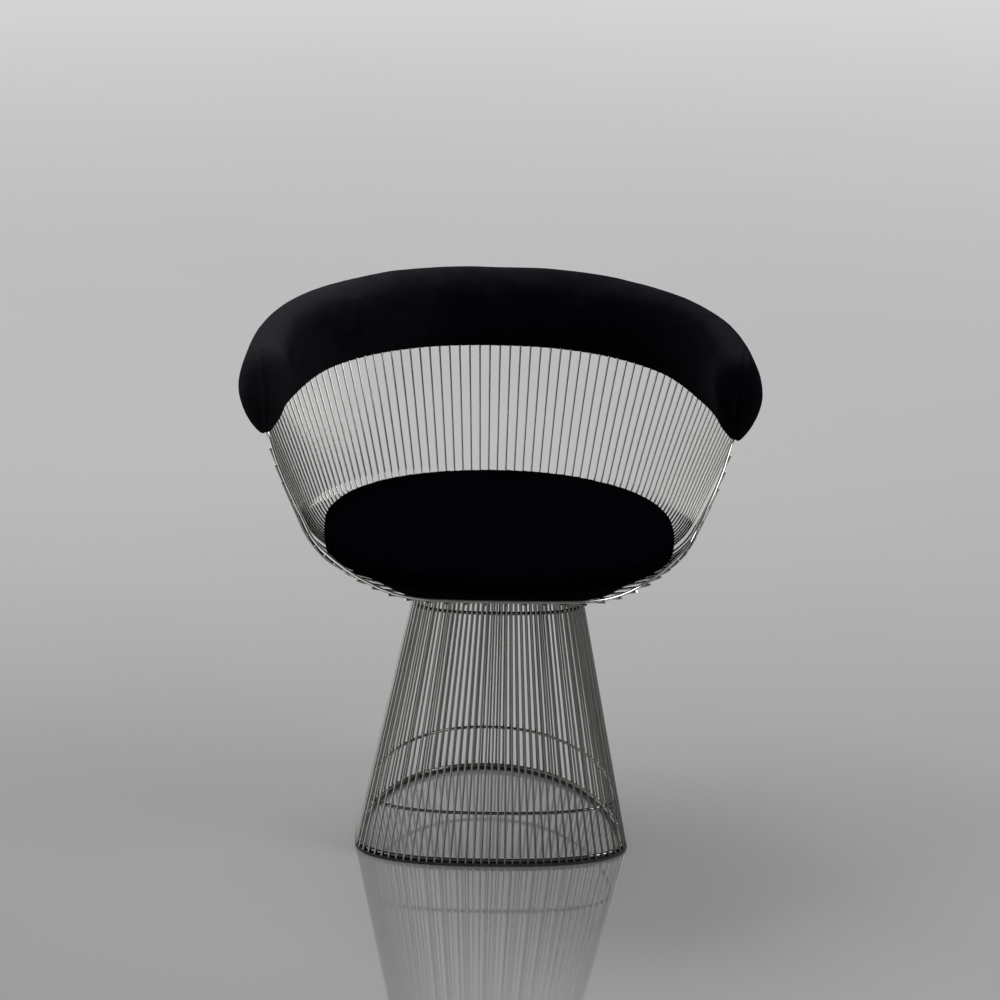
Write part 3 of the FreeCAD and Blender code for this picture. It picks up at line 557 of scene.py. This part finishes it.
        # inside, the lower edge hangs a little towards the front of each arm
        inside = smooth_step((np.arange(nv) / fine_out - 0.70) / 0.18)[None, :] * outer
        far = ((G - [side * 284.0, 114.0, 605.0]) / [48.0, 70.0, 26.0]) ** 2
        G = G + (4.8 * np.exp(-far.sum(2)) * inside)[..., None] * [-0.55 * side, 0.0, -0.83]
    verts = np.concatenate([G.reshape(-1, 3), [G[0].mean(0) , G[-1].mean(0)]])
    faces = grid_faces(ns, nv)
    e0, e1 = ns * nv, ns * nv + 1
    faces += [(j, (j + 1) % nv, e0) for j in range(nv)]
    faces += [((ns - 1) * nv + (j + 1) % nv, (ns - 1) * nv + j, e1) for j in range(nv)]
    # outward faces
    vol = 0.0
    V = verts
    for f in faces:
        vol += np.dot(V[f[0]], np.cross(V[f[1]], V[f[2]]))
        if len(f) == 4:
            vol += np.dot(V[f[0]], np.cross(V[f[2]], V[f[3]]))
    if vol < 0:
        faces = [tuple(reversed(f)) for f in faces]
    o = add_piece("back_and_arm_roll", verts, faces, [VELVET])
    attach(o, "frame")
    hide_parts(*PAD_NODES)
    return o


# --------------------------------------------------------------- seat cushion
SEAM_TOP, SEAM_LOW, CUSH_Z0 = 462.0, 439.0, 402.9


def cad_radius(levels, n_az):
    """Outer radius of the cushion's solids about the bowl axis, for each height and azimuth."""
    vs, fs = [], []
    for n in ("seat_top_panel", "seat_side_band", "seat_bottom_cloth"):
        me = nodes[n].data
        base = len(vs)
        vs += [v.co.copy() for v in me.vertices]
        fs += [[base + i for i in p.vertices] for p in me.polygons]
    tree = BVHTree.FromPolygons(vs, fs)
    out = np.zeros((len(levels), n_az))
    for i, z in enumerate(levels):
        for j in range(n_az):
            a = 2 * math.pi * j / n_az
            d = Vector((math.sin(a), math.cos(a), 0))
            o = Vector((0, (BOWL_Y + Y_SHIFT) * MM, z * MM))
            hit = tree.ray_cast(o + d * 0.45, -d)
            out[i, j] = (hit[0] - o).length / MM if hit[0] is not None else np.nan
    return out


def cushion_grid(n_az, rise, crown, sub):
    """Points [row, azimuth] from the middle of the underside, up the side, to the middle of the top."""
    side = np.array([403.2, 405.5, 409.0, 414.0, 420.0, 426.0, 432.0, 436.0, SEAM_LOW, 442.0, 446.5, 451.0, 455.5, 459.0, SEAM_TOP])
    R = cad_radius(side, n_az)
    az = 2 * np.pi * np.arange(n_az) / n_az
    rows, tags = [], []
    for t in (0.02, 0.12, 0.25, 0.4, 0.55, 0.7, 0.82, 0.91, 0.97):
        rows.append((R[0] * t, np.full(n_az, CUSH_Z0)))
        tags.append(0.0)
    for i, z in enumerate(side):
        rows.append((R[i] - 0.4, np.full(n_az, z)))
        tags.append(0.0)
    # the top panel rounds over from its seam and rises a little to the middle
    for d in (2.0, 5.0, 9.0, 14.0, 20.0, 27.0, 36.0, 47.0, 60.0, 76.0, 95.0, 116.0, 139.0, 164.0, 188.0, 208.0, 224.0, 234.0):
        t = d / 240.0
        r = (R[-1] - 0.4) * (1 - t)
        z = SEAM_TOP + rise * (1 - math.exp(-d / 13.0)) + crown * (1 - (1 - t) ** 2)
        rows.append((r, np.full(n_az, z)))
        tags.append(d)
    G = np.array([np.stack([r * np.sin(az), BOWL_Y + r * np.cos(az), z], -1) for r, z in rows])
    if sub > 1:
        out = []
        for a, b in zip(G, G[1:]):
            out += [a * (1 - k / sub) + b * (k / sub) for k in range(sub)]
        G = np.array(out + [G[-1]])
    return G


def build_cushion():
    n_az = 240
    G = cushion_grid(n_az, 8.0, 7.0, 2)
    nr = len(G)
    n = grid_normals(G, False, True)
    mid = G[nr // 2].mean(0)
    if ((G - mid) * n).sum() < 0:
        n = -n
    i_low = int(np.argmin(np.abs(G[:, 0, 2] - SEAM_LOW) + 1000 * (np.arange(nr) > 48)))
    i_top = int(np.argmin(np.abs(G[:, 0, 2] - SEAM_TOP) + 1000 * (np.arange(nr) > 48)))
    flat = int(np.argmin(np.abs(G[:, 0, 2] - 405.5) + 1000 * (np.arange(nr) > 48)))
    S = cushion_grid(n_az, 6.0, 2.0, 2)[::2, ::2]
    cr, ca = S.shape[:2]
    faces = grid_faces(cr, ca)
    verts = np.concatenate([S.reshape(-1, 3), [S[0].mean(0), S[-1].mean(0)]])
    e0, e1 = cr * ca, cr * ca + 1
    faces += [(j, (j + 1) % ca, e0) for j in range(ca)]
    faces += [((cr - 1) * ca + (j + 1) % ca, (cr - 1) * ca + j, e1) for j in range(ca)]
    pin = np.zeros((cr, ca))
    pin[:flat // 2 + 1] = 1.0
    pin[i_low // 2] = 0.95
    pin[i_top // 2] = 0.95
    pin[flat // 2:i_low // 2] = 0.9
    sim = cloth_shape("cushion_cloth", verts, faces, np.concatenate([pin.ravel(), [1, 0]]), 4.0)
    m = sim[:cr * ca].reshape(cr, ca, 3) - S
    L = np.linalg.norm(m, axis=2, keepdims=True)
    m *= np.minimum(1.0, 14.0 / np.maximum(L, 1e-9))
    m = upsample(m, False, True)[:nr]
    swell = (m * n).sum(2)
    print("cushion cloth: swell top %.2f mm, band %.2f" % (swell[-30:].mean(), swell[i_low:i_top].max()))
    top = np.zeros(nr)
    top[i_top:] = 1.0
    k = 6.0 / max(float(np.median(swell[-24:])), 1.0)
    swell = np.where(top[:, None] > 0, swell * min(k, 3.0), swell.clip(-0.5, 1.2))
    S2 = cushion_grid(n_az, 6.0, 2.0, 2)
    G = np.where(top[:, None, None] > 0, S2 + n * swell.clip(-2.0, 12.0)[..., None], G + n * swell[..., None])
    # distance along the side from each seam
    step = np.linalg.norm(np.diff(G, axis=0), axis=2)
    arc = np.concatenate([np.zeros((1, n_az)), np.cumsum(step, 0)], 0)
    ring = np.concatenate([[0], np.cumsum(np.linalg.norm(np.diff(G[i_top], axis=0), axis=1))])
    d = 0.7 * noise_field(G, 1 / 85.0, 3) + 0.25 * noise_field(G, 1 / 24.0, 4)
    d *= smooth_step((np.arange(nr) - flat) / 8.0)[:, None]
    for i, depth, lip, puck in ((i_top, 1.5, 0.55, 0.45), (i_low, 1.2, 0.2, 0.25)):
        s = arc - arc[i]
        d = d - depth * np.exp(-(s / 1.7) ** 2) + lip * np.exp(-((np.abs(s) - 4.2) / 2.2) ** 2)
        wave = np.sin(ring * 2 * np.pi / 11.5 + 3.0 * np.sin(ring / 47.0))[None, :]
        d = d + puck * wave * np.exp(-np.abs(s) / 9.0) * (1 - np.exp(-(s / 2.0) ** 2))
    G = G + n * d[..., None]
    verts = np.concatenate([G.reshape(-1, 3), [G[0].mean(0), G[-1].mean(0)]])
    faces = grid_faces(nr, n_az)
    mat = [1 if (f[0] // n_az) < i_low else 0 for f in faces]
    e0, e1 = nr * n_az, nr * n_az + 1
    faces += [(j, (j + 1) % n_az, e0) for j in range(n_az)]
    mat += [1] * n_az
    faces += [((nr - 1) * n_az + (j + 1) % n_az, (nr - 1) * n_az + j, e1) for j in range(n_az)]
    mat += [0] * n_az
    V = verts
    vol = sum(np.dot(V[f[0]], np.cross(V[f[1]], V[f[2]])) + (np.dot(V[f[0]], np.cross(V[f[2]], V[f[3]])) if len(f) == 4 else 0)
              for f in faces)
    if vol < 0:
        faces = [tuple(reversed(f)) for f in faces]
    o = add_piece("seat_cushion_soft", verts, faces, [VELVET_SEAT_SHADED, CLOTH], mat)
    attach(o, "seat_cushion")
    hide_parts(*SEAT_NODES)
    return o


roll = build_roll()
cushion = build_cushion()


# -------------------------------------------------------------- smooth metal
for n in METAL + ["floor_glide_ring", "cushion_grip_pads"]:
    me = nodes[n].data
    me.polygons.foreach_set("use_smooth", np.ones(len(me.polygons), bool))
    me.set_sharp_from_angle(angle=math.radians(40))


# --------------------------------------------------------- floor, light, view
fm = bpy.data.meshes.new("floor")
h = 40.0
fm.from_pydata([(-h, -h, 0), (h, -h, 0), (h, h, 0), (-h, h, 0)], [], [(0, 1, 2, 3)])
floor = bpy.data.objects.new("floor", fm)
floor.location = (0, 0, -0.0003)
fm.materials.append(floor_material())
scene.collection.objects.link(floor)

world = bpy.data.worlds.new("studio")
scene.world = world
world.use_nodes = True
wt = world.node_tree
bg = next(n for n in wt.nodes if n.type == "BACKGROUND")
tc = wt.nodes.new("ShaderNodeTexCoord")
sep = wt.nodes.new("ShaderNodeSeparateXYZ")
wt.links.new(tc.outputs["Generated"], sep.inputs["Vector"])
dx, dy, dz = (sep.outputs[k] for k in "XYZ")


def grey(stops, fac):
    return ramp(wt, fac, [(p, (v, v, v)) for p, v in stops])


# soft room: pale wall behind, large window side at the left, dim in front below eye height
back_wall = math_node(wt, "MULTIPLY", grey([(0.0, 0.0), (0.15, 0.05), (0.75, 1.0)], dy),
                      grey([(0.0, 1.25), (0.30, 1.2), (0.5, 0.25), (0.8, 0.0)], dz))
left_side = math_node(wt, "MULTIPLY", grey([(0.0, 0.0), (0.5, 0.06), (0.8, 1.0)], math_node(wt, "MULTIPLY", dx, -1.0)),
                      grey([(0.0, 1.35), (0.28, 1.25), (0.40, 0.12), (0.7, 0.0)], dz))
rest = grey([(0.0, 0.05), (0.41, 0.06), (0.47, 0.42), (0.60, 0.42), (0.68, 0.09), (1.0, 0.05)], dz)
total_light = math_node(wt, "ADD", math_node(wt, "ADD", back_wall, left_side), rest)
wt.links.new(total_light, bg.inputs["Color"])
bg.inputs["Strength"].default_value = 1.0


def area_light(name, loc, target, size, power, colour=(1, 1, 1)):
    l = bpy.data.lights.new(name, "AREA")
    l.shape = "RECTANGLE"
    l.size, l.size_y = size
    l.energy = power
    l.color = colour
    o = bpy.data.objects.new(name, l)
    o.location = loc
    o.rotation_mode = "QUATERNION"
    o.rotation_quaternion = (Vector(target) - Vector(loc)).to_track_quat("-Z", "Y")
    scene.collection.objects.link(o)
    return o


area_light("key_right", (2.4, -1.0, 2.0), (-0.1, 0, 0.55), (1.5, 1.6), 42.0)
top = area_light("top_left", (-1.0, 0.9, 2.9), (-0.1, 0, 0.6), (1.8, 1.4), 62.0)
top.visible_glossy = False

cd = bpy.data.cameras.new("camera")
cam = bpy.data.objects.new("camera", cd)
scene.collection.objects.link(cam)
e, az, rl = math.radians(18.35554), math.radians(-2.69905), math.radians(1.72027)
back = Vector((math.sin(az) * math.cos(e), -math.cos(az) * math.cos(e), math.sin(e)))
right = Vector((math.cos(az), math.sin(az), 0))
up = right.cross(-back)
r = math.cos(rl) * right + math.sin(rl) * up
u = -math.sin(rl) * right + math.cos(rl) * up
pos = Vector((1.41582, Y_SHIFT, 485.13968)) * MM + back * 3.898137
M = Matrix((r, u, back)).transposed().to_4x4()
M.translation = pos
cam.matrix_world = M
cd.sensor_width = 36.0
cd.lens = 2828.6716 * 36.0 / 1000.0
cd.clip_start, cd.clip_end = 0.05, 200.0
scene.camera = cam

scene.view_settings.view_transform = "Standard"
scene.view_settings.look = "None"
